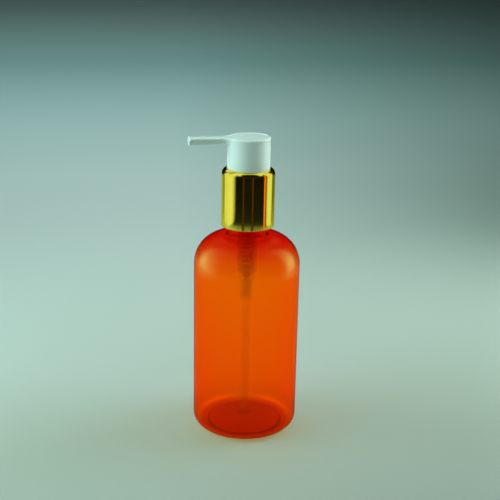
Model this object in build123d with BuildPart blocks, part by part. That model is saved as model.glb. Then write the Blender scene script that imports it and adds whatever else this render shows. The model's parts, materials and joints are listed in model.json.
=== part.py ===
from build123d import *
import os
from math import acos, atan, degrees, radians, sin, sqrt, tan

# Massage-oil pump bottle.  Millimetres, +Z up, the bottle's axis on Z.  The origin is the
# centre of the ring the bottle stands on.  The nozzle points along -X.

# ---- bottle ----
body_r = 28.75
wall = 0.80
heel_r = 6.20
heel_wall = 0.95
heel_blend_z = 18.60
ring_outer_r = body_r - heel_r
ring_inner_r = 20.40
ring_blend = 0.40
ring_curve = 0.62
step_r = 14.90
step_z = 1.90
step_w = 0.50
step_h = 0.45
dome_z = 4.20
base_wall = 1.30
gate_r = 3.00
gate_h = 0.80
gate_draft = 0.30
shoulder_z = 94.55
shoulder_r = 16.35
shoulder_c = body_r - shoulder_r
neck_r = 10.75
neck_bore_r = 9.20
root_fillet = shoulder_c - neck_r
neck_top_z = 131.00
neck_lip_r = 0.25
bead_r = 11.50
bead_sink = 1.05
bead_z = 119.40
bead_h = 1.80

# ---- screw thread shared by the neck and the cap ----
pitch = 3.175
turns = 1.50
neck_thread_r = 11.85
neck_thread_z = 124.65
cap_bore_r = 12.10
cap_thread_r = 11.05
thread_root_w = 1.90
thread_tip_w = 0.85
thread_sink = 0.30
flank_offset = 0.15

# ---- gasket ----
gasket_h = 1.20
gasket_r = 11.60
gasket_bore_r = 7.30
gasket_round = 0.20

# ---- pump housing ----
flange_z = neck_top_z + gasket_h
flange_h = 1.20
flange_r = 11.00
collet_r = 7.20
collet_top_z = 138.20
collet_bore_r = 5.60
collet_low_z = 126.40
barrel_r = 5.40
bore_r = 4.60
bore_top_z = 125.90
barrel_taper_z = 90.80
barrel_taper_h = 2.00
barrel_bottom_z = 84.80
cage_outer_r = 4.30
cage_round = 0.60
groove_z = 89.60
cage_r = 3.50
cage_bore_r = 2.35
cage_top_z = 90.35
seat_top_z = 87.00
seat_bottom_z = 85.90
inlet_r = 1.30
socket_r = 3.55
socket_z = 73.90
socket_top_z = 84.00
socket_lead_w = 0.30
socket_lead_h = 0.40
vent_r = 0.50
vent_z = 129.20
vent_l = 3.00
collet_slope = 1.50
rib_count = 3
rib_tip_r = 1.75
rib_w = 0.80
rib_sink = 0.30

# ---- inlet ball ----
ball_r = 2.00
ball_lift = 1.00
ball_gap = 0.02

# ---- dip tube ----
tube_r = 2.50
tube_bore_r = 1.75
tube_bottom_z = 7.00
tube_top_z = 83.90
tube_cut_angle = 35.0
tube_fit = 0.02

# ---- chaplet, the ring that closes the housing and guides the stem ----
guide_r = 3.12
guide_outer_r = 4.10
guide_bottom_z = 126.50
chaplet_r = 8.40
chaplet_skirt_z = 135.25
chaplet_skirt_bore_r = 7.25
chaplet_deck_z = 138.25
chaplet_deck_h = 1.45
chaplet_boss_r = 5.00
chaplet_boss_z = 140.60
chaplet_bevel = 0.25
chaplet_pocket = 0.60
spigot_r = 5.55
spigot_bore_r = 4.75
spigot_z = 131.00

# ---- stem ----
stem_r = 3.05
stem_bore_r = 1.60
stem_top_z = 158.20
stem_bead_r = 3.50
stem_bead_top_z = 126.45
stem_bead_h = 1.00
stem_tail_r = 2.40
stem_bottom_z = 118.90
stem_bevel = 0.30
snap_z = 128.90
snap_h = 0.60
snap_r = 1.70
snap_room = 0.08
snap_slope = 0.15

# ---- valve plug ----
plug_rod_r = 1.55
plug_top_z = 130.20
plug_flange_r = 3.90
plug_flange_z = 115.60
plug_flange_top_z = 117.20
plug_cone_r = 3.20
plug_cone_top_z = 118.50
plug_pilot_r = 2.25
plug_pilot_z = 103.50
plug_nose_w = 0.60
plug_nose_h = 0.90
plug_bevel = 0.40
plug_groove_w = 0.90
plug_groove_d = 0.80
plug_groove_count = 4

# ---- piston ----
sleeve_bore_r = 2.46
sleeve_r = 3.20
sleeve_z = 117.98
sleeve_top_z = 124.65
web_z = 121.10
web_h = 1.10
skirt_bore_r = 3.95
wiper_r = 4.58
wiper_waist_r = 4.35
wiper_h = 0.70
skirt_z = 118.90
skirt_top_z = 125.00
skirt_flare = 0.30
lip_w = 0.15
sleeve_taper = 0.70

# ---- return spring ----
wire_r = 0.35
coil_r = 2.85
working_turns = 9.0
dead_turns = 1.0
dead_gap = 0.08
spring_gap = 0.02

# ---- screw cap ----
cap_r = 13.75
cap_bottom_z = 116.20
cap_deck_z = 133.50
cap_deck_h = 1.60
cap_deck_bore_r = 7.60
cap_top_z = 144.60
cap_top_round = 1.50

# ---- gold collar ----
collar_r = 14.25
collar_wall = 0.45
collar_bottom_z = 115.60
collar_top_z = 147.30
collar_round = 3.40
collar_hole_r = 11.75

# ---- pump head ----
head_r = 11.42
head_bore_r = 10.25
head_bottom_z = 145.60
head_joint_z = 162.60
head_plate_z = 160.90
head_bevel = 0.25
hub_r = 4.30
hub_bore_r = 3.06
hub_z = 151.00
head_rib_w = 0.90
head_rib_z = 156.00
head_rib_count = 4
head_rib_sink = 0.30
stem_seat_gap = 0.02
arm_w = 6.60
arm_under_z = 160.80
arm_tip_x = -31.90
arm_corner = 1.20
arm_edge = 0.50
flare_r = 6.40
channel_w = 2.60
channel_z = 161.40
mouth_over = 0.20
mouth_proud = 0.10
mouth_l = 1.20
mouth_round = 0.50
mouth_under_z = 160.45
joint_bevel = 0.15
cover_top_z = 164.10
cover_over = 0.14
cover_mouth_over = 0.05
cover_round = 1.00
cover_recess = 0.35
cover_rim = 1.20
cover_rib_w = 2.50
cover_rib_h = 0.35
cover_rib_inset = 1.00
recess_corner = 0.60


def ridge(inner_r, outer_r, root_r, low_z):
    """One thread ridge: a trapezium carried up a helix for `turns` turns."""
    middle_r = (inner_r + outer_r) / 2
    root_half = thread_root_w / 2
    tip_half = thread_tip_w / 2
    half_at = {root_r: root_half}
    half_at[outer_r if root_r == inner_r else inner_r] = tip_half
    with BuildPart() as screw:
        with BuildLine() as path:
            Helix(pitch, turns * pitch, middle_r, center=(0, 0, low_z))
        start = path.line @ 0
        with BuildSketch(Plane(origin=start, x_dir=(1, 0, 0), z_dir=path.line % 0)):
            with BuildLine():
                Polyline(
                    (inner_r - middle_r, -half_at[inner_r]),
                    (outer_r - middle_r, -half_at[outer_r]),
                    (outer_r - middle_r, half_at[outer_r]),
                    (inner_r - middle_r, half_at[inner_r]),
                    close=True,
                )
            make_face()
        sweep(path=path.line, is_frenet=True)
    return screw.part


# The neck's ridge grows outward from inside the neck wall, the cap's inward from inside the
# cap wall, half a pitch lower, so that each runs in the other's gap.
neck_ridge = ridge(neck_r - thread_sink, neck_thread_r, neck_r - thread_sink, neck_thread_z)
cap_ridge = ridge(
    cap_thread_r,
    cap_bore_r + thread_sink,
    cap_bore_r + thread_sink,
    neck_thread_z - pitch / 2 + flank_offset,
)

# ---- bottle: blown shell with a pushed-up base, round shoulder and threaded neck ----
inner_shoulder_r = shoulder_r - wall
with BuildPart() as bottle:
    with BuildSketch(Plane.XZ):
        with BuildLine():
            dome_sag = (dome_z - step_z) / 4
            ThreePointArc((0, dome_z), (step_r / 2, dome_z - dome_sag), (step_r, step_z))
            Line((step_r, step_z), (step_r + step_w, step_z - step_h))
            ThreePointArc(
                (step_r + step_w, step_z - step_h),
                ((step_r + step_w + ring_inner_r) / 2, (step_z - step_h) * ring_curve),
                (ring_inner_r, 0),
            )
            Line((ring_inner_r, 0), (ring_outer_r, 0))
            CenterArc((ring_outer_r, heel_r), heel_r, 270, 90)
            Line((body_r, heel_r), (body_r, shoulder_z))
            CenterArc((shoulder_c, shoulder_z), shoulder_r, 0, 90)
            root_z = shoulder_z + shoulder_r + root_fillet
            CenterArc((shoulder_c, root_z), root_fillet, 270, -90)
            Line((neck_r, root_z), (neck_r, neck_top_z))
            Line((neck_r, neck_top_z), (neck_bore_r, neck_top_z))
            throat_r = shoulder_c - neck_bore_r
            throat_z = shoulder_z + inner_shoulder_r + throat_r
            Line((neck_bore_r, neck_top_z), (neck_bore_r, throat_z))
            CenterArc((shoulder_c, throat_z), throat_r, 180, 90)
            CenterArc((shoulder_c, shoulder_z), inner_shoulder_r, 90, -90)
            inner_heel = heel_r - heel_wall
            Line((body_r - wall, shoulder_z), (body_r - wall, heel_blend_z))
            Line((body_r - wall, heel_blend_z), (body_r - heel_wall, heel_r))
            CenterArc((ring_outer_r, heel_r), inner_heel, 0, -90)
            inside = base_wall
            Line((ring_outer_r, heel_wall), (ring_inner_r - ring_blend, inside))
            ThreePointArc(
                (ring_inner_r - ring_blend, inside),
                ((step_r + ring_inner_r) / 2, (step_z - step_h) * ring_curve + inside),
                (step_r + step_w, step_z - step_h + inside),
            )
            Line((step_r + step_w, step_z - step_h + inside), (step_r, step_z + inside))
            gate_z = dome_z - (gate_r / step_r) ** 2 * (dome_z - step_z) + inside
            middle = (gate_r + step_r) / 2
            middle_z = dome_z - (middle / step_r) ** 2 * (dome_z - step_z) + inside
            ThreePointArc((step_r, step_z + inside), (middle, middle_z), (gate_r, gate_z))
            Line((gate_r, gate_z), (gate_r - gate_draft, gate_z + gate_h))
            Line((gate_r - gate_draft, gate_z + gate_h), (0, gate_z + gate_h))
            Line((0, gate_z + gate_h), (0, dome_z))
        make_face()
    revolve(axis=Axis.Z)
    with BuildSketch(Plane.XZ):
        with BuildLine():
            Polyline(
                (neck_r - bead_sink, bead_z - bead_h / 2),
                (neck_r, bead_z - bead_h / 2),
                (bead_r, bead_z - bead_h / 4),
                (bead_r, bead_z + bead_h / 4),
                (neck_r, bead_z + bead_h / 2),
                (neck_r - bead_sink, bead_z + bead_h / 2),
                close=True,
            )
        make_face()
    revolve(axis=Axis.Z)
    add(neck_ridge)
    lip = bottle.edges().filter_by(GeomType.CIRCLE).filter_by_position(
        Axis.Z, neck_top_z - 0.001, neck_top_z + 0.001
    )
    fillet(lip, neck_lip_r)
bottle.part.label = "bottle"

# ---- gasket: soft washer between the neck and the housing flange ----
with BuildPart() as gasket:
    with BuildSketch(Plane.XY.offset(neck_top_z)):
        Circle(gasket_r)
        Circle(gasket_bore_r, mode=Mode.SUBTRACT)
    extrude(amount=gasket_h)
    fillet(gasket.edges().filter_by(GeomType.CIRCLE), gasket_round)
gasket.part.label = "gasket"

# ---- pump housing: flange, pump barrel, ball cage with its conical seat, tube socket ----
with BuildPart() as pump_housing:
    with BuildSketch(Plane.XZ):
        with BuildLine():
            collet_rise = collet_bore_r - bore_r
            corner_c = (cage_outer_r - cage_round, barrel_bottom_z + cage_round)
            Polyline(
                (tube_r + tube_fit, socket_top_z),
                (tube_r + tube_fit, socket_z + socket_lead_h),
                (tube_r + tube_fit + socket_lead_w, socket_z),
                (socket_r, socket_z),
                (socket_r, barrel_bottom_z),
                (cage_outer_r - cage_round, barrel_bottom_z),
            )
            CenterArc(corner_c, cage_round, 270, 90)
            Polyline(
                (cage_outer_r, barrel_bottom_z + cage_round),
                (cage_outer_r, barrel_taper_z - barrel_taper_h),
                (barrel_r, barrel_taper_z),
                (barrel_r, bore_top_z - collet_rise * collet_slope),
                (collet_r, collet_low_z),
                (collet_r, flange_z),
                (flange_r, flange_z),
                (flange_r, flange_z + flange_h),
                (collet_r, flange_z + flange_h),
                (collet_r, collet_top_z),
                (collet_bore_r, collet_top_z),
                (collet_bore_r, collet_low_z),
                (bore_r, bore_top_z),
                (bore_r, groove_z),
                (cage_r, groove_z),
                (cage_r, cage_top_z),
                (cage_bore_r, cage_top_z),
                (cage_bore_r, seat_top_z),
                (inlet_r, seat_bottom_z),
                (inlet_r, socket_top_z),
                (tube_r + tube_fit, socket_top_z),
            )
        make_face()
    revolve(axis=Axis.Z)
    # three ribs over the ball keep it in its cage
    seat_half = atan((cage_bore_r - inlet_r) / (seat_top_z - seat_bottom_z))
    seat_apex_z = seat_bottom_z - inlet_r / tan(seat_half)
    ball_z = seat_apex_z + (ball_r + ball_gap) / sin(seat_half)
    rib_z = ball_z + ball_lift + sqrt(ball_r**2 - rib_tip_r**2) + ball_gap
    with BuildSketch(Plane.XY.offset(rib_z)):
        rib_l = cage_bore_r + rib_sink - rib_tip_r
        with PolarLocations(rib_tip_r + rib_l / 2, rib_count):
            Rectangle(rib_l, rib_w)
    extrude(amount=cage_top_z - rib_z)
    # vent that lets air into the bottle above the piston
    with BuildSketch(Plane.YZ.offset((collet_bore_r + collet_r - vent_l) / 2)):
        with Locations((0, vent_z)):
            Circle(vent_r)
    extrude(amount=vent_l, mode=Mode.SUBTRACT)
pump_housing.part.label = "pump_housing"

# ---- inlet ball ----
with BuildPart() as inlet_ball:
    with BuildSketch(Plane.XZ):
        with BuildLine():
            CenterArc((0, ball_z), ball_r, -90, 180)
            Line((0, ball_z + ball_r), (0, ball_z - ball_r))
        make_face()
    revolve(axis=Axis.Z)
inlet_ball.part.label = "inlet_ball"

# ---- dip tube, its foot cut at a slant ----
with BuildPart() as dip_tube:
    with BuildSketch(Plane.XY.offset(tube_bottom_z)):
        Circle(tube_r)
        Circle(tube_bore_r, mode=Mode.SUBTRACT)
    extrude(amount=tube_top_z - tube_bottom_z)
    with BuildSketch(Plane.XZ):
        cut_rise = 2 * tube_r * tan(radians(tube_cut_angle))
        with BuildLine():
            Polyline(
                (-tube_r, tube_bottom_z),
                (tube_r + 1, tube_bottom_z - 1),
                (tube_r + 1, tube_bottom_z + cut_rise * (1 + 1 / (2 * tube_r))),
                close=True,
            )
        make_face()
    extrude(amount=tube_r + 1, both=True, mode=Mode.SUBTRACT)
dip_tube.part.label = "dip_tube"

# ---- chaplet: closes the housing, traps the cap's deck, guides the stem ----
with BuildPart() as chaplet:
    with BuildSketch(Plane.XZ):
        with BuildLine():
            Polyline(
                (guide_r, guide_bottom_z),
                (guide_outer_r, guide_bottom_z),
                (guide_outer_r, chaplet_deck_z - chaplet_pocket),
                (spigot_bore_r, chaplet_deck_z - chaplet_pocket),
                (spigot_bore_r, spigot_z),
                (spigot_r, spigot_z),
                (spigot_r, chaplet_deck_z),
                (chaplet_skirt_bore_r, chaplet_deck_z),
                (chaplet_skirt_bore_r, chaplet_skirt_z),
                (chaplet_r, chaplet_skirt_z),
                (chaplet_r, chaplet_deck_z + chaplet_deck_h),
                (chaplet_boss_r, chaplet_deck_z + chaplet_deck_h),
                (chaplet_boss_r, chaplet_boss_z),
                (guide_r, chaplet_boss_z),
                close=True,
            )
        make_face()
    revolve(axis=Axis.Z)
    rim = chaplet.edges().filter_by(GeomType.CIRCLE).filter_by_position(
        Axis.Z, chaplet_deck_z + chaplet_deck_h, chaplet_boss_z
    )
    chamfer(rim.filter_by(lambda e: e.radius > guide_outer_r), chaplet_bevel)
chaplet.part.label = "chaplet"

# ---- stem: hollow rod from the piston up into the head ----
with BuildPart() as stem:
    with BuildSketch(Plane.XZ):
        with BuildLine():
            groove_half = snap_h / 2 + snap_room
            Polyline(
                (stem_bore_r, stem_bottom_z),
                (stem_tail_r, stem_bottom_z),
                (stem_tail_r, stem_bead_top_z - stem_bead_h),
                (stem_bead_r, stem_bead_top_z - stem_bead_h),
                (stem_bead_r, stem_bead_top_z),
                (stem_r, stem_bead_top_z),
                (stem_r, stem_top_z - stem_bevel),
                (stem_r - stem_bevel, stem_top_z),
                (stem_bore_r, stem_top_z),
                (stem_bore_r, snap_z + groove_half + snap_slope),
                (snap_r + snap_room, snap_z + groove_half),
                (snap_r + snap_room, snap_z - groove_half),
                (stem_bore_r, snap_z - groove_half),
                close=True,
            )
        make_face()
    revolve(axis=Axis.Z)
stem.part.label = "stem"

# ---- valve plug: snaps into the stem's foot, seats the piston, sits on the spring ----
with BuildPart() as valve_plug:
    with BuildSketch(Plane.XZ):
        with BuildLine():
            Polyline(
                (0, plug_pilot_z),
                (plug_pilot_r - plug_nose_w, plug_pilot_z),
                (plug_pilot_r, plug_pilot_z + plug_nose_h),
                (plug_pilot_r, plug_flange_z),
                (plug_flange_r, plug_flange_z),
                (plug_flange_r, plug_flange_top_z),
                (plug_cone_r, plug_flange_top_z),
                (plug_cone_r - (plug_cone_top_z - plug_flange_top_z), plug_cone_top_z),
                (plug_rod_r, plug_cone_top_z),
                (plug_rod_r, snap_z - snap_h / 2),
                (snap_r, snap_z - snap_h / 2),
                (snap_r, snap_z + snap_h / 6),
                (plug_rod_r, snap_z + snap_h / 2),
                (plug_rod_r, plug_top_z - plug_bevel),
                (plug_rod_r - plug_bevel, plug_top_z),
                (0, plug_top_z),
                close=True,
            )
        make_face()
    revolve(axis=Axis.Z)
    # four grooves carry the oil up past the rod
    with BuildSketch(Plane.XY.offset(plug_cone_top_z)):
        with PolarLocations(plug_rod_r, plug_groove_count):
            Rectangle(2 * plug_groove_d, plug_groove_w)
    extrude(amount=plug_top_z - plug_cone_top_z, mode=Mode.SUBTRACT)
valve_plug.part.label = "valve_plug"

# ---- piston: sleeve on the stem's tail, outer skirt with an upper and a lower wiper ----
with BuildPart() as piston:
    with BuildSketch(Plane.XZ):
        with BuildLine():
            Polyline(
                (sleeve_bore_r, sleeve_z),
                (sleeve_bore_r + lip_w, sleeve_z),
                (sleeve_r, sleeve_z + sleeve_taper),
                (sleeve_r, web_z),
                (skirt_bore_r, web_z),
                (skirt_bore_r, skirt_z + skirt_flare),
                (wiper_r - lip_w, skirt_z),
                (wiper_r, skirt_z),
                (wiper_r, skirt_z + wiper_h),
                (wiper_waist_r, skirt_z + 2 * wiper_h),
                (wiper_waist_r, skirt_top_z - 2 * wiper_h),
                (wiper_r, skirt_top_z - wiper_h),
                (wiper_r, skirt_top_z),
                (wiper_r - lip_w, skirt_top_z),
                (skirt_bore_r, skirt_top_z - skirt_flare),
                (skirt_bore_r, web_z + web_h),
                (sleeve_r, web_z + web_h),
                (sleeve_r, sleeve_top_z),
                (sleeve_bore_r, sleeve_top_z),
                close=True,
            )
        make_face()
    revolve(axis=Axis.Z)
piston.part.label = "piston"

# ---- return spring: open working coils between two closed end coils ----
spring_low_z = cage_top_z + spring_gap + wire_r
spring_high_z = plug_flange_z - spring_gap - wire_r
dead_pitch = 2 * wire_r + dead_gap
dead_h = dead_turns * dead_pitch
working_pitch = (spring_high_z - spring_low_z - 2 * dead_h) / working_turns


def coil(low_z, coil_pitch, coil_turns, start_angle):
    """A run of spring wire that starts at start_angle degrees round the axis."""
    with BuildPart() as run:
        with BuildLine() as path:
            Helix(coil_pitch, coil_pitch * coil_turns, coil_r, center=(0, 0, low_z))
        with BuildSketch(Plane(origin=path.line @ 0, z_dir=path.line % 0)):
            Circle(wire_r)
        sweep(path=path.line, is_frenet=True)
    return run.part.rotate(Axis.Z, start_angle)


coil_low = coil(spring_low_z, dead_pitch, dead_turns, 0)
coil_work = coil(spring_low_z + dead_h, working_pitch, working_turns, 0)
coil_high = coil(spring_high_z - dead_h, dead_pitch, dead_turns, 0)
with BuildPart() as return_spring:
    add(coil_low)
    add(coil_work)
    add(coil_high)
    for joint_z in (spring_low_z + dead_h, spring_high_z - dead_h):
        with Locations((coil_r, 0, joint_z)):
            Sphere(wire_r)
return_spring.part.label = "return_spring"

# ---- screw cap: threaded skirt, deck clamped on the housing, tall sleeve round the head ----
with BuildPart() as screw_cap:
    with BuildSketch(Plane.XZ):
        with BuildLine():
            Polyline(
                (cap_bore_r, cap_bottom_z),
                (cap_r, cap_bottom_z),
                (cap_r, cap_top_z - cap_top_round),
            )
            CenterArc(
                (cap_r - cap_top_round, cap_top_z - cap_top_round), cap_top_round, 0, 90
            )
            Polyline(
                (cap_r - cap_top_round, cap_top_z),
                (cap_bore_r, cap_top_z),
                (cap_bore_r, cap_deck_z + cap_deck_h),
                (cap_deck_bore_r, cap_deck_z + cap_deck_h),
                (cap_deck_bore_r, cap_deck_z),
                (cap_bore_r, cap_deck_z),
                (cap_bore_r, cap_bottom_z),
            )
        make_face()
    revolve(axis=Axis.Z)
    add(cap_ridge)
screw_cap.part.label = "screw_cap"

# ---- gold collar: spun metal shell pressed over the screw cap, its top domed in to a hole ----
dome_run = collar_r - collar_hole_r - collar_wall / 2
dome_turn = degrees(acos(1 - dome_run / collar_round))
with BuildPart() as gold_collar:
    with BuildSketch(Plane.XZ):
        inner_r = collar_r - collar_wall
        edge_r = collar_wall / 2
        corner_z = collar_top_z - collar_round * sin(radians(dome_turn))
        corner = (collar_r - collar_round, corner_z)
        with BuildLine():
            Line((collar_r, collar_bottom_z + edge_r), (collar_r, corner_z))
            outer = CenterArc(corner, collar_round, 0, dome_turn)
            inner = CenterArc(corner, collar_round - collar_wall, dome_turn, -dome_turn)
            lip_c = ((outer @ 1) + (inner @ 0)) / 2
            CenterArc(lip_c, edge_r, dome_turn, 180)
            Line((inner_r, corner_z), (inner_r, collar_bottom_z + edge_r))
            CenterArc((inner_r + edge_r, collar_bottom_z + edge_r), edge_r, 180, 180)
        make_face()
    revolve(axis=Axis.Z)
gold_collar.part.label = "gold_collar"


def teardrop(round_r, width, tip_x, blend_r, tip_corner):
    """Plan outline of the head: a disc blended by hollow curves into an arm along -X."""
    half = width / 2
    reach = round_r + blend_r
    blend_y = half + blend_r
    blend_x = -sqrt(reach**2 - blend_y**2)
    touch = round_r / reach
    # the middle of each hollow curve lies halfway between its two ends as seen from its centre
    mid_x = -blend_x / reach
    mid_y = -blend_y / reach - 1
    mid_l = sqrt(mid_x**2 + mid_y**2)
    arc_x = blend_x + blend_r * mid_x / mid_l
    arc_y = blend_y + blend_r * mid_y / mid_l
    with BuildSketch() as outline:
        with BuildLine():
            for side in (1, -1):
                ThreePointArc(
                    (blend_x * touch, side * blend_y * touch),
                    (arc_x, side * arc_y),
                    (blend_x, side * half),
                )
                Line((blend_x, side * half), (tip_x + tip_corner, side * half))
                CenterArc(
                    (tip_x + tip_corner, side * (half - tip_corner)),
                    tip_corner,
                    90 * side,
                    90 * side,
                )
            Line((tip_x, half - tip_corner), (tip_x, tip_corner - half))
            ThreePointArc(
                (blend_x * touch, blend_y * touch),
                (round_r, 0),
                (blend_x * touch, -blend_y * touch),
            )
        make_face()
    return outline.sketch


# ---- head body: skirt, stem hub with ribs, arm with an open channel and a rimmed mouth ----
head_plan = teardrop(head_r, arm_w, arm_tip_x, flare_r, arm_corner)
with BuildPart() as head_body:
    with BuildSketch(Plane.XY.offset(arm_under_z)):
        add(head_plan)
    extrude(amount=head_joint_z - arm_under_z)
    under = head_body.edges().filter_by_position(Axis.Z, arm_under_z, arm_under_z)
    fillet(under, arm_edge)
    rim = head_body.edges().filter_by_position(Axis.Z, head_joint_z, head_joint_z)
    chamfer(rim, joint_bevel)
    with BuildSketch(Plane.XY.offset(mouth_under_z)):
        with Locations((arm_tip_x - mouth_proud + mouth_l / 2, 0)):
            RectangleRounded(mouth_l, arm_w + 2 * mouth_over, mouth_round)
    extrude(amount=head_joint_z - joint_bevel - mouth_under_z)
    with BuildSketch(Plane.XY.offset(head_bottom_z)):
        Circle(head_r)
    extrude(amount=arm_under_z + 2 * arm_edge - head_bottom_z)
    with BuildSketch(Plane.XY.offset(head_bottom_z)):
        Circle(head_bore_r)
    extrude(amount=head_plate_z - head_bottom_z, mode=Mode.SUBTRACT)
    foot = head_body.edges().filter_by_position(Axis.Z, head_bottom_z, head_bottom_z)
    chamfer(foot, head_bevel)
    with BuildSketch(Plane.XY.offset(hub_z)):
        Circle(hub_r)
    extrude(amount=head_plate_z - hub_z)
    with BuildSketch(Plane.XY.offset(head_rib_z)):
        with PolarLocations((hub_r + head_bore_r) / 2, head_rib_count, 45):
            Rectangle(head_bore_r - hub_r + 2 * head_rib_sink, head_rib_w)
    extrude(amount=head_plate_z - head_rib_z)
    with BuildSketch(Plane.XY.offset(hub_z)):
        Circle(hub_bore_r)
    extrude(amount=stem_top_z + stem_seat_gap - hub_z, mode=Mode.SUBTRACT)
    with BuildSketch(Plane.XY.offset(stem_top_z)):
        Circle(stem_bore_r)
    extrude(amount=head_joint_z - stem_top_z, mode=Mode.SUBTRACT)
    with BuildSketch(Plane.XY.offset(channel_z)):
        with Locations(((arm_tip_x - channel_w / 2 + stem_bore_r) / 2, 0)):
            SlotOverall(stem_bore_r - arm_tip_x + 1.5 * channel_w, channel_w)
    extrude(amount=head_joint_z - channel_z, mode=Mode.SUBTRACT)
head_body.part.label = "head_body"

# ---- head cover: plate that closes the channel, its top sunk inside a rounded rim ----
cover_arm_w = arm_w + 2 * (mouth_over + cover_mouth_over)
cover_plan = teardrop(
    head_r + cover_over,
    cover_arm_w,
    arm_tip_x - cover_over,
    flare_r - cover_over,
    arm_corner,
)
recess_plan = teardrop(
    head_r - cover_rim,
    cover_arm_w - 2 * cover_rim,
    arm_tip_x + cover_rim,
    flare_r + cover_rim,
    recess_corner,
)
with BuildPart() as head_cover:
    with BuildSketch(Plane.XY.offset(head_joint_z)):
        add(cover_plan)
    extrude(amount=cover_top_z - head_joint_z)
    top = head_cover.edges().filter_by_position(Axis.Z, cover_top_z, cover_top_z)
    fillet(top, cover_round)
    low = head_cover.edges().filter_by_position(Axis.Z, head_joint_z, head_joint_z)
    chamfer(low, joint_bevel)
    with BuildSketch(Plane.XY.offset(cover_top_z - cover_recess)):
        add(recess_plan)
    extrude(amount=cover_recess, mode=Mode.SUBTRACT)
    with BuildSketch(Plane.XY.offset(head_joint_z - cover_rib_h)):
        with Locations(((arm_tip_x + cover_rib_inset + stem_bore_r) / 2, 0)):
            SlotOverall(stem_bore_r - arm_tip_x - cover_rib_inset, cover_rib_w)
    extrude(amount=cover_rib_h)
head_cover.part.label = "head_cover"

os.makedirs("parts", exist_ok=True)
export_step(bottle.part, "parts/bottle.step")
export_step(gasket.part, "parts/gasket.step")
export_step(pump_housing.part, "parts/pump_housing.step")
export_step(inlet_ball.part, "parts/inlet_ball.step")
export_step(dip_tube.part, "parts/dip_tube.step")
export_step(chaplet.part, "parts/chaplet.step")
export_step(stem.part, "parts/stem.step")
export_step(valve_plug.part, "parts/valve_plug.step")
export_step(piston.part, "parts/piston.step")
export_step(return_spring.part, "parts/return_spring.step")
export_step(screw_cap.part, "parts/screw_cap.step")
export_step(gold_collar.part, "parts/gold_collar.step")
export_step(head_body.part, "parts/head_body.step")
export_step(head_cover.part, "parts/head_cover.step")
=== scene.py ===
import json
from collections import defaultdict
from math import acos, cos, degrees, pi, radians, sin, tan

import bpy
from mathutils import Matrix, Vector


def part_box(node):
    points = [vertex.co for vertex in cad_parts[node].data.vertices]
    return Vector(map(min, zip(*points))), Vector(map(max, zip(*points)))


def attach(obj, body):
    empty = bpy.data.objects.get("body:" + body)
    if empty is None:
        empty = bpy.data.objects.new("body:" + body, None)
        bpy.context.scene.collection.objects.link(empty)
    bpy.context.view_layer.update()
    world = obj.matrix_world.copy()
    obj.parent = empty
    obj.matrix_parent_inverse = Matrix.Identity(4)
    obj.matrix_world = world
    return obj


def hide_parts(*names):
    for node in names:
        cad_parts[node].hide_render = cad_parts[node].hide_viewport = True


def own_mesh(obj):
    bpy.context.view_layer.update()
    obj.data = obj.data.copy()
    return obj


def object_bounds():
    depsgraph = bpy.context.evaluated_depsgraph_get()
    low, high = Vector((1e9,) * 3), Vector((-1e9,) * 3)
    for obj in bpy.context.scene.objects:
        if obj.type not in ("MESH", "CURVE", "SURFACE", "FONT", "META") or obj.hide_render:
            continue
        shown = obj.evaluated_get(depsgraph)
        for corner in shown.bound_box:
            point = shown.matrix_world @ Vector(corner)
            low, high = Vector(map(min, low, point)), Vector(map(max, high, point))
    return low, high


# The looks of the massage-oil pump bottle.  Metres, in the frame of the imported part: +Z up
# along the bottle's axis, the spout along -X, the bottle standing on z = 0.

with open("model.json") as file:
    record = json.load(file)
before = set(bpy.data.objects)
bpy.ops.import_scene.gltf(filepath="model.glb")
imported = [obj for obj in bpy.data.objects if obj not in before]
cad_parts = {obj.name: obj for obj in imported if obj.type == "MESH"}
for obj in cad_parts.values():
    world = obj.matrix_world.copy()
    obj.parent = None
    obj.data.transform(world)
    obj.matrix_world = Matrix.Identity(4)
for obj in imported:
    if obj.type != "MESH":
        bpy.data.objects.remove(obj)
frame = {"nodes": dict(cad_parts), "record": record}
cad_low, cad_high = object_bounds()
tall = cad_high.z - cad_low.z
MM = 0.001

# where the camera stands, which the paper and the cards are laid out from
CAMERA_TURN = radians(-10.0)
CAMERA_BACK = 3.242 * tall


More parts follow.
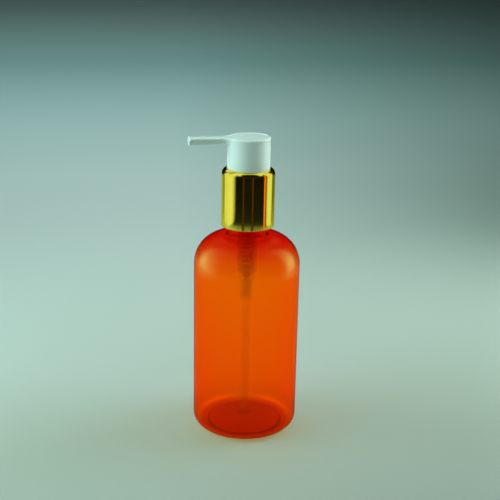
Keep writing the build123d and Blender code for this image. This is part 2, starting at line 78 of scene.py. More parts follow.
# ---------------------------------------------------------------- node material helpers
class Nodes:
    """A node tree, of a material or of the world, with short calls to add and join nodes."""

    def __init__(self, name, world=False):
        self.owner = bpy.data.worlds.new(name) if world else bpy.data.materials.new(name)
        self.owner.use_nodes = True
        self.tree = self.owner.node_tree
        self.tree.nodes.clear()
        self.output = self.node("OutputWorld" if world else "OutputMaterial")

    def node(self, kind, **inputs):
        made = self.tree.nodes.new("ShaderNode" + kind)
        for key, value in inputs.items():
            slot = made.inputs[key.replace("_", " ")]
            if isinstance(value, bpy.types.NodeSocket):
                self.tree.links.new(value, slot)
            else:
                slot.default_value = value
        return made

    def link(self, source, target):
        self.tree.links.new(source, target)

    def position(self):
        return self.node("NewGeometry").outputs["Position"]

    def along(self, axis):
        return self.node("SeparateXYZ", Vector=self.position()).outputs[axis]

    def vector(self, operation, a, b=None):
        made = self.node("VectorMath", Vector=a)
        made.operation = operation
        if isinstance(b, bpy.types.NodeSocket):
            self.link(b, made.inputs[1])
        elif b is not None:
            made.inputs[1].default_value = b
        return made.outputs["Value" if operation in ("LENGTH", "DOT_PRODUCT") else "Vector"]

    def dot(self, direction, more):
        return self.math("ADD", self.vector("DOT_PRODUCT", self.position(), direction), more)

    def noise(self, scale, detail=4.0, rough=0.5, stretch=None):
        vector = self.position()
        if stretch:
            mapping = self.node("Mapping", Vector=vector)
            mapping.inputs["Scale"].default_value = stretch
            vector = mapping.outputs["Vector"]
        made = self.node("TexNoise", Vector=vector, Scale=scale, Detail=detail, Roughness=rough)
        return made.outputs["Fac"]

    def spread(self, value, low, high, from_low=0.3, from_high=0.7):
        made = self.node("MapRange", Value=value)
        made.inputs["From Min"].default_value = from_low
        made.inputs["From Max"].default_value = from_high
        made.inputs["To Min"].default_value = low
        made.inputs["To Max"].default_value = high
        return made.outputs["Result"]

    def ramp(self, value, *stops):
        made = self.node("ValToRGB", Fac=value)
        points = made.color_ramp.elements
        while len(points) < len(stops):
            points.new(0.5)
        for point, (place, colour) in zip(points, stops):
            point.position = place
            point.color = (*colour, 1.0)
        return made.outputs["Color"]

    def bump(self, height, strength, distance, under=None):
        made = self.node("Bump", Height=height, Strength=strength, Distance=distance)
        if under is not None:
            self.link(under, made.inputs["Normal"])
        return made.outputs["Normal"]

    def math(self, operation, a, b=0.0, c=0.0):
        made = self.node("Math")
        made.operation = operation
        for slot, value in zip(made.inputs, (a, b, c)):
            if isinstance(value, bpy.types.NodeSocket):
                self.link(value, slot)
            else:
                slot.default_value = value
        return made.outputs["Value"]

    def blend(self, fac, a, b, mode="MIX"):
        made = self.node("MixRGB", Fac=fac, Color1=a, Color2=b)
        made.blend_type = mode
        return made.outputs["Color"]

    def mix(self, fac, a, b):
        made = self.node("MixShader", Fac=fac)
        self.link(a, made.inputs[1])
        self.link(b, made.inputs[2])
        return made.outputs["Shader"]

    def join(self, a, b):
        made = self.node("AddShader")
        self.link(a, made.inputs[0])
        self.link(b, made.inputs[1])
        return made.outputs["Shader"]

    def done(self, surface, volume=None):
        self.link(surface, self.output.inputs["Surface"])
        if volume is not None:
            self.link(volume, self.output.inputs["Volume"])
        return self.owner


# Painted shade: the bottle's wall is tinted darker towards the base and heel; the tint also deepens
# towards the top of the shoulder.
BOTTLE_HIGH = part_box("bottle")[1].z
BODY_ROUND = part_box("bottle")[1].x
DYE_COLOUR = (0.989, 0.640, 0.0, 1.0)
DYE_DENSITY = 2700.0
DYE_HAZE = 0.05
PAINTED_GLOW = 0.185
BODY_SHINE = 0.38
SHINE_TINT = (1.0, 0.82, 0.18, 1.0)
RIM_TINT = (0.85, 1.0, 0.98, 1.0)
BASE_HIGH, BASE_FADE = 8.0 * MM, 2.0 * MM
# painted shade: the dark line along the standing ring's edge
RING_LINE, RING_EDGE = 20.2 * MM, (0.20 * MM, 0.65 * MM)
PAINTED_RING_SHADE = (0.08, 0.01, 0.01, 1.0)
NEAR_SIDE, FAR_SIDE, OFF_MIDDLE = (-2 * MM, 8 * MM), (2 * MM, 14 * MM), (4 * MM, 12 * MM)
# painted highlight: the glowing arc on the heel
HEEL_ARC, HEEL_EDGE = 26.0 * MM, (0.3 * MM, 1.6 * MM)
PAINTED_HEEL_GLOW = 0.15
PAINTED_HEEL_COLOUR = (1.0, 0.17, 0.0, 1.0)
# the band of the shoulder where a painted highlight strengthens the glossy reflection, as shares of the
# bottle's height
GLEAM_START, GLEAM_END = (0.69, 0.76), (0.775, 0.825)
LEVEL = (1.0, 1.0, 0.0)


def tinted_bottle():
    """Clear orange plastic: the dye soaks up green and blue inside the wall; the bottle also carries a
    painted glow and painted shade.
    """
    n = Nodes("tinted_bottle")
    cloud = n.noise(60.0, 3.0)
    flow = n.noise(22.0, 2.0, stretch=(1.0, 1.0, 0.25))
    skin = n.bump(flow, 0.2, 0.0004)
    level = n.along("Z")
    height = n.spread(level, 0.0, 1.0, 0.0, BOTTLE_HIGH)
    # the wall's tint: darker low down (painted shade) and deeper red towards the top of the shoulder
    wall_tint = n.ramp(
        height,
        (0.00, (0.97, 0.84, 0.50)),
        (0.06, (0.98, 0.86, 0.50)),
        (0.30, (0.985, 0.90, 0.50)),
        (0.72, (0.985, 0.98, 0.50)),
        (0.78, (0.96, 0.80, 0.45)),
        (0.83, (0.92, 0.30, 0.25)),
    )
    reach = n.vector("LENGTH", n.vector("MULTIPLY", n.position(), LEVEL))
    # painted shade: near the floor the tint turns to the base's, painted darker red towards the middle,
    # with a dark ring coloured round the gate
    low_down = n.spread(level, 1.0, 0.0, BASE_HIGH - BASE_FADE, BASE_HIGH)
    outward = n.spread(reach, 0.0, 1.0, 0.0, BODY_ROUND)
    base_shade_and_gate_ring = n.ramp(
        outward,
        (0.06, (0.60, 0.13, 0.25)),
        (0.08, (0.06, 0.01, 0.01)),
        (0.12, (0.06, 0.01, 0.01)),
        (0.14, (0.60, 0.13, 0.25)),
        (0.50, (0.70, 0.15, 0.25)),
        (0.53, (0.76, 0.22, 0.30)),
        (0.70, (0.86, 0.36, 0.40)),
        (0.78, (0.92, 0.60, 0.50)),
        (0.90, (0.98, 0.88, 0.50)),
    )
    # near and far are judged level with the floor from wherever the bottle is looked at
    incoming = n.node("NewGeometry").outputs["Incoming"]
    eye = n.vector("NORMALIZE", n.vector("MULTIPLY", incoming, LEVEL))
    away_from_eye = n.math("MULTIPLY", n.vector("DOT_PRODUCT", eye, n.position()), -1.0)
    square = n.math("SUBTRACT", n.math("POWER", reach, 2.0), n.math("POWER", away_from_eye, 2.0))
    across_eye = n.math("SQRT", n.math("MAXIMUM", square, 0.0))
    # painted shade: a dark line is painted along the edge of the standing ring on the near side
    off_ring = n.math("ABSOLUTE", n.math("SUBTRACT", reach, RING_LINE))
    nearby = n.spread(away_from_eye, 1.0, 0.0, *NEAR_SIDE)
    painted_ring_shade_mask = n.math("MULTIPLY", n.spread(off_ring, 0.95, 0.0, *RING_EDGE), nearby)
    base_shade_and_gate_ring = n.blend(painted_ring_shade_mask, base_shade_and_gate_ring, PAINTED_RING_SHADE)
    tint = n.blend(low_down, wall_tint, base_shade_and_gate_ring)
    # painted glow: the emission colour, dimmer towards the base and the top of the shoulder; the haze
    # takes the same colour
    glow = n.ramp(
        height,
        (0.00, (0.34, 0.002, 0.0)),
        (0.04, (0.46, 0.008, 0.0)),
        (0.09, (0.95, 0.026, 0.0)),
        (0.17, (1.0, 0.038, 0.0)),
        (0.28, (1.0, 0.060, 0.0)),
        (0.70, (1.0, 0.078, 0.0)),
        (0.78, (0.88, 0.040, 0.0)),
        (0.84, (0.64, 0.003, 0.0)),
    )
    # painted highlight: a glowing arc is painted on the heel's inner curve, most of it to the left and
    # right of the far side
    off_heel = n.math("ABSOLUTE", n.math("SUBTRACT", reach, HEEL_ARC))
    at_heel = n.spread(off_heel, 1.0, 0.0, *HEEL_EDGE)
    beyond = n.spread(away_from_eye, 0.0, 1.0, *FAR_SIDE)
    aside = n.spread(across_eye, 0.2, 1.0, *OFF_MIDDLE)
    painted_heel_glow_mask = n.math("MULTIPLY", n.math("MULTIPLY", at_heel, low_down), n.math("MULTIPLY", beyond, aside))
    glow = n.blend(painted_heel_glow_mask, glow, PAINTED_HEEL_COLOUR)
    lift = n.math("MULTIPLY_ADD", painted_heel_glow_mask, PAINTED_HEEL_GLOW, PAINTED_GLOW)
    mirror = n.node("Fresnel", IOR=1.5, Normal=skin).outputs["Fac"]
    # painted highlight: the glossy reflection of the lit panels is weighted up only in a band at the turn
    # of the shoulder, placed by height
    turn_low = n.spread(height, 0.0, 1.0, *GLEAM_START)
    turn_high = n.spread(height, 1.0, 0.0, *GLEAM_END)
    rising, falling = n.spread(mirror, 0.06, 1.0, 0.042, 0.064), n.spread(mirror, 1.0, 0.1, 0.11, 0.24)
    tilted = n.math("MULTIPLY", rising, falling)
    facing = n.math("MULTIPLY", n.math("MULTIPLY", tilted, BODY_SHINE), turn_low)
    gleam = n.math("MULTIPLY", facing, turn_high)
    polish = n.math("ADD", gleam, n.math("MULTIPLY", mirror, 0.22))
    rough = n.spread(cloud, 0.19, 0.24)
    at_rim = n.spread(mirror, 0.0, 1.0, 0.16, 0.40)
    shine_tint = n.blend(at_rim, SHINE_TINT, RIM_TINT)
    shine = n.node("BsdfGlossy", Color=shine_tint, Roughness=rough, Normal=skin)
    through = n.node("BsdfRefraction", Color=tint, Roughness=0.0, IOR=1.5, Normal=skin)
    haze = n.node("BsdfTranslucent", Color=glow, Normal=skin)
    inward = n.mix(DYE_HAZE, through.outputs["BSDF"], haze.outputs["BSDF"])
    outside = n.mix(polish, inward, shine.outputs["BSDF"])
    # painted glow: the bottle emits light of its own, though it is no lamp
    lamp = n.node("Emission", Color=glow, Strength=lift)
    outside = n.join(outside, lamp.outputs["Emission"])
    within = n.node("BsdfGlass", Color=tint, Roughness=0.0, IOR=1.5, Normal=skin)
    backside = n.node("NewGeometry").outputs["Backfacing"]
    shell = n.mix(backside, outside, within.outputs["BSDF"])
    # light that falls through the bottle comes out pale yellow
    clear = n.node("BsdfTransparent", Color=(0.99, 0.93, 0.70, 1.0))
    shadow = n.node("LightPath").outputs["Is Shadow Ray"]
    surface = n.mix(shadow, shell, clear.outputs["BSDF"])
    density = n.math("MULTIPLY", n.math("SUBTRACT", 1.0, shadow), DYE_DENSITY)
    soak = n.node("VolumeAbsorption", Color=DYE_COLOUR, Density=density)
    return n.done(surface, soak.outputs["Volume"])


def gold_metal():
    """Gold-anodised aluminium, spun and polished: faint hoop lines and a few smudges."""
    n = Nodes("gold_metal")
    smudge = n.noise(90.0, 5.0, 0.6)
    hoops = n.noise(600.0, 2.0, stretch=(0.02, 0.02, 1.0))
    rough = n.spread(smudge, 0.07, 0.12)
    colour = n.ramp(smudge, (0.3, (0.98, 0.70, 0.075)), (0.7, (1.0, 0.76, 0.10)))
    skin = n.bump(hoops, 0.08, 0.0001)
    metal = n.node("BsdfPrincipled", Roughness=rough, Metallic=1.0, Normal=skin)
    n.link(colour, metal.inputs["Base Color"])
    metal.inputs["Specular Tint"].default_value = (1.0, 0.86, 0.42, 1.0)
    return n.done(metal.outputs["BSDF"])


PAINTED_TOP_SHADE = (0.84, 0.85, 0.86, 1.0)


def moulded(name, light, dark, rough_low, rough_high, under_skin, grain=0.12):
    """Moulded plastic: light passes a little way in; shade clouds, mould grain, and painted shade
    darkening upward faces.
    """
    n = Nodes(name)
    cloud = n.noise(35.0, 4.0)
    fine = n.noise(900.0, 2.0)
    colour = n.ramp(cloud, (0.3, dark), (0.7, light))
    # painted shade: faces that look straight up are darkened
    lying = n.node("SeparateXYZ", Vector=n.node("NewGeometry").outputs["True Normal"]).outputs["Z"]
    painted_top_shade_mask = n.spread(lying, 0.0, 1.0, 0.93, 0.99)
    colour = n.blend(painted_top_shade_mask, colour, n.blend(1.0, colour, PAINTED_TOP_SHADE, "MULTIPLY"))
    rough = n.spread(n.noise(140.0, 4.0), rough_low, rough_high)
    skin = n.bump(fine, grain, 0.0001, n.bump(cloud, 0.08, 0.0005))
    body = n.node("BsdfPrincipled", Roughness=rough, IOR=1.49, Normal=skin)
    n.link(colour, body.inputs["Base Color"])
    body.inputs["Subsurface Weight"].default_value = under_skin
    body.inputs["Subsurface Radius"].default_value = (0.0012, 0.0012, 0.0011)
    body.inputs["Subsurface Scale"].default_value = 1.0
    return n.done(body.outputs["BSDF"])


def translucent(name, light, dark, clear):
    """Natural unpigmented plastic: part clear, part milky."""
    n = Nodes(name)
    cloud = n.noise(50.0, 4.0)
    colour = n.ramp(cloud, (0.3, dark), (0.7, light))
    rough = n.spread(n.noise(120.0, 3.0), 0.25, 0.40)
    skin = n.bump(n.noise(700.0, 2.0), 0.12, 0.0001)
    body = n.node("BsdfPrincipled", Roughness=rough, IOR=1.5, Normal=skin)
    n.link(colour, body.inputs["Base Color"])
    body.inputs["Subsurface Weight"].default_value = 0.6
    body.inputs["Subsurface Radius"].default_value = (0.004, 0.004, 0.004)
    see_through = n.node("BsdfTransparent", Color=(0.97, 0.97, 0.96, 1.0))
    amount = n.spread(cloud, clear - 0.03, clear + 0.03)
    return n.done(n.mix(amount, body.outputs["BSDF"], see_through.outputs["BSDF"]))


def steel():
    """Drawn stainless steel."""
    n = Nodes("steel")
    lines = n.noise(500.0, 3.0)
    colour = n.ramp(lines, (0.3, (0.55, 0.55, 0.56)), (0.7, (0.68, 0.68, 0.69)))
    rough = n.spread(lines, 0.14, 0.26)
    skin = n.bump(lines, 0.1, 0.00005)
    metal = n.node("BsdfPrincipled", Roughness=rough, Metallic=1.0, Normal=skin)
    n.link(colour, metal.inputs["Base Color"])
    return n.done(metal.outputs["BSDF"])


PAPER_NEAR, PAPER_FAR = -0.2, 3.2
WIDTH_BLEND = (0.0, 0.35)
# half the camera's view per metre of depth, and the slightly wider slope its outline is cut at
HALF_VIEW, VIEW_SLOPE = 0.2417, 0.26
# where mirrors stop seeing the sheet: out from the bottle, in front of it and behind it
MIRROR_OUT, MIRROR_FRONT, MIRROR_BACK = (0.34, 0.38), (0.05, 0.15), (0.60, 1.10)
# where the even paper sets in: beside the view, close to the camera and up the wall
SIDE_FADE, NEAR_FADE, WALL_FADE = (0.02, 0.30), (0.12, 0.44), (0.02, 0.50)
EVEN_PAPER = (0.40, 0.56, 0.52)


def paper():
    """Studio paper for the floor and the wall behind, with painted shade grading it along and across the
    view; even outside the camera's view.
    """
    n = Nodes("paper")
    depth = n.spread(n.along("Y"), 0.0, 1.0, PAPER_NEAR, PAPER_FAR)
    # painted shade: the paper's colour rises and falls with depth for the light's falloff
    length = n.ramp(
        depth,
        (0.05, (0.40, 0.42, 0.385)),
        (0.23, (0.80, 0.82, 0.83)),
        (0.30, (0.76, 0.84, 0.86)),
        (0.48, (0.51, 0.68, 0.69)),
        (0.94, (0.84, 0.94, 0.95)),
    )
    # the way off the camera's line of sight, as a share of the half-width of its view
    deep = n.dot((-sin(CAMERA_TURN), cos(CAMERA_TURN), 0.0), CAMERA_BACK)
    aside = n.dot((cos(CAMERA_TURN), sin(CAMERA_TURN), 0.0), 0.0)
    share = n.math("DIVIDE", aside, n.math("MAXIMUM", n.math("MULTIPLY", deep, HALF_VIEW), 0.01))
    share = n.spread(share, 0.0, 1.0, -1.0, 1.0)
    # painted shade: the paper darkens towards the sides of the view
    near_painted_falloff = n.ramp(share, (0.60, (0.96, 0.96, 0.96)), (1.00, (0.80, 0.82, 0.81)))
    far_painted_falloff = n.ramp(share, (0.35, (1.0, 1.0, 1.0)), (1.00, (0.56, 0.60, 0.57)))
    width = n.blend(n.spread(n.along("Y"), 0.0, 1.0, *WIDTH_BLEND), near_painted_falloff, far_painted_falloff)
    colour = n.blend(1.0, length, width, "MULTIPLY")
    grain = n.noise(1500.0, 3.0)
    skin = n.bump(grain, 0.15, 0.0002)
    sheet = n.node("BsdfPrincipled", Roughness=0.85, Normal=skin)
    n.link(colour, sheet.inputs["Base Color"])
    sheet.inputs["Specular IOR Level"].default_value = 0.2
    # painted shade: in mirrors the sheet turns near-black in front of the near floor and high up behind
    # it, standing for an unlit room
    sight = n.node("LightPath").outputs
    beyond = n.spread(n.vector("LENGTH", n.position()), 0.0, 1.0, *MIRROR_OUT)
    ahead = n.spread(n.along("Y"), 1.0, 0.0, *MIRROR_FRONT)
    behind = n.spread(n.along("Y"), 0.0, 1.0, *MIRROR_BACK)
    painted_dark_zone = n.math("MAXIMUM", n.math("MULTIPLY", beyond, ahead), behind)
    painted_dark_share = n.math("MULTIPLY", painted_dark_zone, sight["Is Glossy Ray"])
    painted_dark_sheet = n.node("BsdfDiffuse", Color=(0.02, 0.02, 0.02, 1.0))
    lit = n.mix(painted_dark_share, sheet.outputs["BSDF"], painted_dark_sheet.outputs["BSDF"])
    # outside the main camera's view the sheet looks as pale as the room, however far the lamps are
    outside = n.math("SUBTRACT", n.math("ABSOLUTE", aside), n.math("MULTIPLY", deep, VIEW_SLOPE))
    outside = n.math("DIVIDE", outside, n.math("MAXIMUM", deep, 1.0))
    beside, close = n.spread(outside, 0.0, 1.0, *SIDE_FADE), n.spread(deep, 1.0, 0.0, *NEAR_FADE)
    up_wall = n.spread(n.along("Z"), 0.0, 1.0, *WALL_FADE)
    unseen = n.math("MAXIMUM", n.math("MAXIMUM", beside, close), up_wall)
    looked_at = n.math("MAXIMUM", sight["Is Camera Ray"], sight["Is Transmission Ray"])
    even = n.ramp(n.noise(3.0, 3.0), (0.3, EVEN_PAPER), (0.7, tuple(1.04 * c for c in EVEN_PAPER)))
    lamp = n.node("Emission", Color=even, Strength=1.0)
    return n.done(n.mix(n.math("MULTIPLY", unseen, looked_at), lit, lamp.outputs["Emission"]))


white = moulded("white_plastic", (0.82, 0.88, 0.86), (0.77, 0.84, 0.82), 0.28, 0.42, 0.25)
soft = moulded("soft_seal", (0.80, 0.82, 0.82), (0.72, 0.75, 0.76), 0.45, 0.60, 0.4)
# painted shade: the natural plastic and the tube are coloured darker to stand for the shade the tinted
# bottle throws on the parts inside it
natural = translucent("natural_plastic", (0.52, 0.50, 0.46), (0.44, 0.42, 0.38), 0.77)
clear_tube = translucent("clear_tube", (0.66, 0.62, 0.56), (0.56, 0.52, 0.46), 0.968)
finishes = {
    "tinted_bottle": tinted_bottle(),
    "gold_metal": gold_metal(),
    "white_plastic": white,
    "natural_plastic": natural,
    "clear_tube": clear_tube,
    "soft_seal": soft,
    "steel": steel(),
}


# ---------------------------------------------------------------- CAD pieces
CREASE = radians(32.0)


def even_normals(mesh):
    """Smooth shading that stops at creases and keeps flat faces flat, weighted by area."""
    limit = cos(CREASE)
    faces = mesh.polygons
    normals = [face.normal.copy() for face in faces]
    weighted = [face.normal * face.area for face in faces]
    around = defaultdict(list)
    for face in faces:
        face.use_smooth = True
        for vertex in face.vertices:
            around[tuple(round(c, 7) for c in mesh.vertices[vertex].co)].append(face.index)
    corner_normals = []
    for face in faces:
        own = normals[face.index]
        for vertex in face.vertices:
            total = Vector((0.0, 0.0, 0.0))
            for other in around[tuple(round(c, 7) for c in mesh.vertices[vertex].co)]:
                if own.dot(normals[other]) > limit:
                    total += weighted[other]
            corner_normals.append(total.normalized() if total.length else own)
    mesh.normals_split_custom_set(corner_normals)


for part in frame["record"]["subparts"]:
    node = frame["nodes"][part["node"]]
    node.data.materials.clear()
    node.data.materials.append(finishes[part["material_slot"]])
    even_normals(node.data)


# ---------------------------------------------------------------- pieces made here
def mesh_object(name, points, faces, material, crease=None):
    mesh = bpy.data.meshes.new(name)
    mesh.from_pydata(points, [], faces)
    mesh.materials.append(material)
    made = bpy.data.objects.new(name, mesh)
    bpy.context.scene.collection.objects.link(made)
    for face in mesh.polygons:
        face.use_smooth = True
    if crease is not None:
        mesh.set_sharp_from_angle(angle=crease)
    return made


def arc(middle_r, middle_z, round_r, first, last, steps):
    """Points (r, z) of an arc in a lathe outline, angles in degrees from outward to up."""
    points = []
    for i in range(steps + 1):
        angle = radians(first + (last - first) * i / steps)
        points.append((middle_r + round_r * cos(angle), middle_z + round_r * sin(angle)))
    return points


def lathe(name, outline, segments, material):
    """A closed outline of (r, z) points turned round the axis, walked so that it faces out."""
    count = len(outline)
    points = []
    for s in range(segments):
        turn = 2 * pi * s / segments
        points += [(r * cos(turn), r * sin(turn), z) for r, z in outline]
    faces = []
    for s in range(segments):
        here, there = s * count, (s + 1) % segments * count
        for i in range(count):
            j = (i + 1) % count
            faces.append((here + i, there + i, there + j, here + j))
    return mesh_object(name, points, faces, material, CREASE)


BODY_WALL, HEEL_WALL, BASE_WALL = 0.80 * MM, 0.95 * MM, 1.30 * MM
HEEL_ROUND, HEEL_BLEND_Z = 6.20 * MM, 18.60 * MM
RING_IN = 20.40 * MM
STEP_IN, STEP_OUT, STEP_Z, STEP_FOOT_Z = 14.90 * MM, 15.40 * MM, 1.90 * MM, 1.45 * MM
DOME_Z = 4.20 * MM
GATE_FOOT, GATE_TIP, GATE_HIGH = 3.00 * MM, 2.70 * MM, 0.80 * MM
SHOULDER_ROUND, SHOULDER_Z = 16.35 * MM, 94.55 * MM
NECK, NECK_BORE, NECK_LIP = 10.75 * MM, 9.20 * MM, 0.25 * MM
BEAD, BEAD_Z, BEAD_HALF = 11.50 * MM, 119.40 * MM, 0.90 * MM
THREAD, THREAD_Z, THREAD_PITCH, THREAD_TURNS = 11.85 * MM, 124.65 * MM, 3.175 * MM, 1.5
THREAD_FOOT, THREAD_TIP = 0.84 * MM, 0.425 * MM
THREAD_ROW = 0.14 * MM
THREAD_RUN_IN = 0.02


def thread_rise(z, turn):
    """How far the neck's screw ridge stands out at height z, turn counted in whole turns."""
    rise = 0.0
    for lap in range(2):
        along = turn + lap
        if along <= THREAD_TURNS:
            off = abs(z - THREAD_Z - THREAD_PITCH * along)
            share = (THREAD_FOOT - off) / (THREAD_FOOT - THREAD_TIP)
            ends = min(along, THREAD_TURNS - along) / THREAD_RUN_IN
            rise = max(rise, min(share, ends, 1.0) * (THREAD - NECK))
    return rise


def blown_bottle():
    """One closed skin: base, heel, wall, round shoulder, threaded neck and the inside of them all."""
    top = BOTTLE_HIGH
    shoulder_c = BODY_ROUND - SHOULDER_ROUND
    heel_c = BODY_ROUND - HEEL_ROUND
    root_round = shoulder_c - NECK
    root_z = SHOULDER_Z + SHOULDER_ROUND + root_round
    inner_round = SHOULDER_ROUND - BODY_WALL
    throat_round = shoulder_c - NECK_BORE
    throat_z = SHOULDER_Z + inner_round + throat_round
    dome_steps, ring_steps, bead_side = 14, 8, BEAD_HALF / 2

    def dome(r, lift):
        return DOME_Z - (r / STEP_IN) ** 2 * (DOME_Z - STEP_Z) + lift

    def ring(share, lift):
        fall = 1 - share
        return STEP_FOOT_Z * (fall + 0.48 * fall * share) + lift

    under = [(STEP_IN * i / dome_steps, dome(STEP_IN * i / dome_steps, 0)) for i in range(dome_steps + 1)]
    for i in range(ring_steps + 1):
        share = i / ring_steps
        under.append((STEP_OUT + (RING_IN - STEP_OUT) * share, ring(share, 0)))
    outside = under + arc(heel_c, HEEL_ROUND, HEEL_ROUND, -90, 0, 18)
    outside += [(BODY_ROUND, HEEL_ROUND + (SHOULDER_Z - HEEL_ROUND) * i / 12) for i in range(1, 12)]
    outside += arc(shoulder_c, SHOULDER_Z, SHOULDER_ROUND, 0, 90, 40)
    outside += arc(shoulder_c, root_z, root_round, 270, 180, 10)[1:]
    outside += [(NECK, BEAD_Z - BEAD_HALF), (BEAD, BEAD_Z - bead_side)]
    outside += [(BEAD, BEAD_Z + bead_side), (NECK, BEAD_Z + BEAD_HALF)]
    thread_low = THREAD_Z - THREAD_FOOT - THREAD_ROW
    rows = int((THREAD_PITCH * THREAD_TURNS + 2 * THREAD_FOOT + 2 * THREAD_ROW) / THREAD_ROW) + 1
    first_row = len(outside)
    outside += [(NECK, thread_low + THREAD_ROW * i) for i in range(rows)]
    last_row = len(outside)
    outside += arc(NECK - NECK_LIP, top - NECK_LIP, NECK_LIP, 0, 90, 4)
    outside += arc(NECK_BORE + NECK_LIP, top - NECK_LIP, NECK_LIP, 90, 180, 4)
    inside = [(NECK_BORE, top + (throat_z - top) * i / 4) for i in range(1, 4)]
    inside += arc(shoulder_c, throat_z, throat_round, 180, 270, 10)
    inside += arc(shoulder_c, SHOULDER_Z, inner_round, 90, 0, 40)[1:]
    inner = BODY_ROUND - BODY_WALL
    inside += [(inner, SHOULDER_Z + (HEEL_BLEND_Z - SHOULDER_Z) * i / 12) for i in range(1, 13)]
    inside += arc(heel_c, HEEL_ROUND, HEEL_ROUND - HEEL_WALL, 0, -90, 18)
    for i in range(ring_steps + 1):
        share = 1 - i / ring_steps
        inside.append((STEP_OUT + (RING_IN - STEP_OUT) * share, ring(share, BASE_WALL)))
    for i in range(dome_steps + 1):
        r = STEP_IN + (GATE_FOOT - STEP_IN) * i / dome_steps
        inside.append((r, dome(r, BASE_WALL)))
    gate_top = dome(GATE_FOOT, BASE_WALL) + GATE_HIGH
    inside += [(GATE_TIP, gate_top), (GATE_TIP / 2, gate_top), (0.0, gate_top)]

    outline = outside + inside
    segments, count = 192, len(outline) - 2
    points = [Vector((0, 0, outline[0][1])), Vector((0, 0, outline[-1][1]))]
    for s in range(segments):
        turn = 2 * pi * s / segments
        for i, (r, z) in enumerate(outline[1:-1], 1):
            if first_row <= i < last_row:
                r += thread_rise(z, s / segments)
            points.append(Vector((r * cos(turn), r * sin(turn), z)))
    faces = []
    for s in range(segments):
        here, there = 2 + s * count, 2 + (s + 1) % segments * count
        faces.append((0, there, here))
        for i in range(count - 1):
            faces.append((here + i, there + i, there + i + 1, here + i + 1))
        faces.append((1, here + count - 1, there + count - 1))
    made = mesh_object("bottle_shell", points, faces, finishes["tinted_bottle"], CREASE)
    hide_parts("bottle")
    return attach(made, "bottle")


COLLAR_WALL = 0.45 * MM
COLLAR_DOME = 3.40 * MM
COLLAR_HOLE = 11.75 * MM
COLLAR_FOOT = 0.90 * MM


def shell_of_gold():
    """The collar: straight wall, top domed in to a hole for the head, foot turned slightly in."""
    low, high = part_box("gold_collar")
    edge = COLLAR_WALL / 2
    turn = acos(1 - (high.x - COLLAR_HOLE - edge) / COLLAR_DOME)
    dome_r = high.x - COLLAR_DOME
    dome_z = high.z - COLLAR_DOME * sin(turn)
    lip_r = dome_r + (COLLAR_DOME - edge) * cos(turn)
    lip_z = dome_z + (COLLAR_DOME - edge) * sin(turn)
    foot_r, foot_z = high.x - COLLAR_FOOT, low.z + COLLAR_FOOT
    turned = degrees(turn)
    outline = arc(foot_r, foot_z, COLLAR_FOOT, -60, 0, 8)
    outline += [(high.x, foot_z + (dome_z - foot_z) * i / 6) for i in range(1, 6)]
    outline += arc(dome_r, dome_z, COLLAR_DOME, 0, turned, 16)
    outline += arc(lip_r, lip_z, edge, turned, turned + 180, 8)[1:-1]
    outline += arc(dome_r, dome_z, COLLAR_DOME - COLLAR_WALL, turned, 0, 10)
    outline += arc(foot_r, foot_z, COLLAR_FOOT - COLLAR_WALL, 0, -60, 4)
    made = lathe("gold_shell", outline, 160, finishes["gold_metal"])
    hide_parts("gold_collar")
    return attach(made, "closure")


SPRING_WIRE = 0.35 * MM
SPRING_TURNS = 11.0
SPRING_CLOSED = 1.0
SPRING_END_GAP = 0.06 * MM


def coil_spring():
    """Round wire wound with closed ends."""
    low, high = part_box("return_spring")
    coil_r = high.x - SPRING_WIRE
    first, last = low.z + SPRING_WIRE, high.z - SPRING_WIRE
    closed_rise = SPRING_CLOSED * (2 * SPRING_WIRE + SPRING_END_GAP)
    open_rise = last - first - 2 * closed_rise
    open_turns = SPRING_TURNS - 2 * SPRING_CLOSED
    per_turn, ring = 32, 12
    steps = int(SPRING_TURNS * per_turn)
    points = []
    for i in range(steps + 1):
        turn = i / per_turn
        lower = min(turn, SPRING_CLOSED) * closed_rise / SPRING_CLOSED
        upper = max(turn - SPRING_TURNS + SPRING_CLOSED, 0.0) * closed_rise / SPRING_CLOSED
        middle = min(max(turn - SPRING_CLOSED, 0.0), open_turns) * open_rise / open_turns
        angle = 2 * pi * turn
        out = Vector((cos(angle), sin(angle), 0.0))
        centre = out * coil_r + Vector((0, 0, first + lower + middle + upper))
        for k in range(ring):
            side = 2 * pi * k / ring
            shift = out * cos(side) + Vector((0, 0, sin(side)))
            points.append(centre + shift * SPRING_WIRE)
    faces = []
    for i in range(steps):
        for k in range(ring):
            a, b = i * ring + k, i * ring + (k + 1) % ring
            faces.append((a, a + ring, b + ring, b))
    faces.append(tuple(range(ring)))
    faces.append(tuple(reversed(range(steps * ring, (steps + 1) * ring))))
    made = mesh_object("spring_coil", points, faces, finishes["steel"], radians(60))
    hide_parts("return_spring")
    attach(made, "pump_core")
    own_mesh(made)
    return made


blown_bottle()
shell_of_gold()
coil_spring()


# ---------------------------------------------------------------- stage
def paper_floor():
    """Flat floor, and behind it a sweep that curves up into the wall."""
    near, far, bend, top, half = -3.0, 4.6, 0.9, 2.6, 3.0
    outline = [(near, 0.0)]
    steps = 24
    for i in range(steps + 1):
        angle = pi / 2 * i / steps
        outline.append((far - bend + bend * sin(angle), bend - bend * cos(angle)))
    outline.append((far, top))
    points = [(side * half, y, z) for y, z in outline for side in (-1, 1)]
    faces = [(2 * i, 2 * i + 1, 2 * i + 3, 2 * i + 2) for i in range(len(outline) - 1)]
    return mesh_object("paper_sweep", points, faces, paper())


